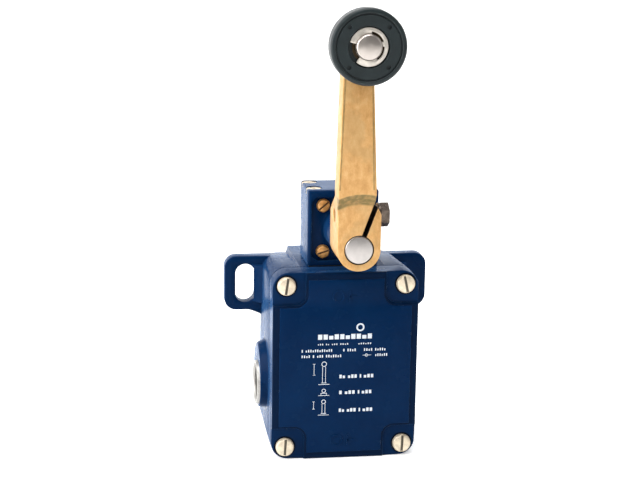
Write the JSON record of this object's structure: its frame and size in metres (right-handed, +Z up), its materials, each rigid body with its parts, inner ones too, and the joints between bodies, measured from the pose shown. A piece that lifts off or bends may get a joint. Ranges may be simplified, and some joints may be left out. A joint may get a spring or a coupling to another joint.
{
  "type": "roller lever limit switch",
  "caption": "Heavy-duty limit switch: blue die-cast box with mounting ears, side cable entry, and a sprung lever with a black roller.",
  "frame": {"origin": "on the flat mounting face, mid-width, level with the middle of the cover", "axes": "+X to the right seen from the cover side, +Y into the surface it is mounted on, +Z up along the lever"},
  "size_m": [0.104, 0.1063, 0.2238],
  "materials": {
    "blue_enamel": "semi-gloss enamel on die-cast metal",
    "lever_gold": "yellow passivated, satin",
    "zinc_screw": "zinc plated",
    "brass_screw": "turned brass",
    "nickel": "nickel plated",
    "turned_steel": "turned",
    "dark_steel": "dark plated",
    "spring_steel": "drawn wire",
    "clip_steel": "stamped",
    "roller_black": "hard thermoplastic",
    "bronze": "sintered bronze",
    "seal_rubber": "moulded",
    "block_plastic": "glass filled thermoset",
    "contact_copper": "stamped copper alloy",
    "contact_silver": "silver",
    "plunger_plastic": "acetal"
  },
  "bodies": {
    "switch_body": {"housing": "blue_enamel", "cover": "blue_enamel", "cover_gasket": "seal_rubber", "cover_screws": "zinc_screw", "cable_entry_insert": "nickel", "contact_block": "block_plastic", "contact_block_screws": "zinc_screw", "fixed_contacts": "contact_copper", "contact_tips": "contact_silver", "terminal_washers": "zinc_screw", "terminal_screws": "zinc_screw", "earth_washer": "zinc_screw", "earth_screw": "zinc_screw", "head_block": "blue_enamel", "head_gasket": "seal_rubber", "head_screws": "zinc_screw", "bearing_plate": "blue_enamel", "bearing_plate_screws": "brass_screw", "shaft_bush": "bronze", "shaft_seal": "seal_rubber", "plunger_guide": "bronze", "upper_spring": "spring_steel", "lower_spring": "spring_steel"},
    "lever_arm": {"shaft": "turned_steel", "crank": "turned_steel", "lever": "lever_gold", "clamp_bolt": "dark_steel", "clamp_washer": "zinc_screw", "roller_axle": "turned_steel", "axle_clip": "clip_steel"},
    "roller_wheel": {"roller": "roller_black", "roller_bush": "bronze"},
    "plunger_rod": {"plunger": "plunger_plastic", "contact_bridges": "contact_copper"}
  },
  "joints": [
    {"name": "lever_swing", "type": "hinge", "parent": "switch_body", "child": "lever_arm", "pos_m": [0, -0.08, 0.0653], "axis": [0, 1, 0], "range_deg": [-50, 50], "stiffness_Nm_per_rad": 0.6},
    {"name": "roller_spin", "type": "hinge", "parent": "lever_arm", "child": "roller_wheel", "pos_m": [0, -0.1012, 0.1598], "axis": [0, 1, 0], "continuous": true},
    {"name": "plunger_slide", "type": "slide", "parent": "switch_body", "child": "plunger_rod", "axis": [0, 0, 1], "range_m": [-0.00275, 0.00275], "deforming": ["upper_spring", "lower_spring"]}
  ],
  "couplings": [
    {"joint": "plunger_slide", "follows": "lever_swing", "m_per_rad": 0.003128}
  ]
}
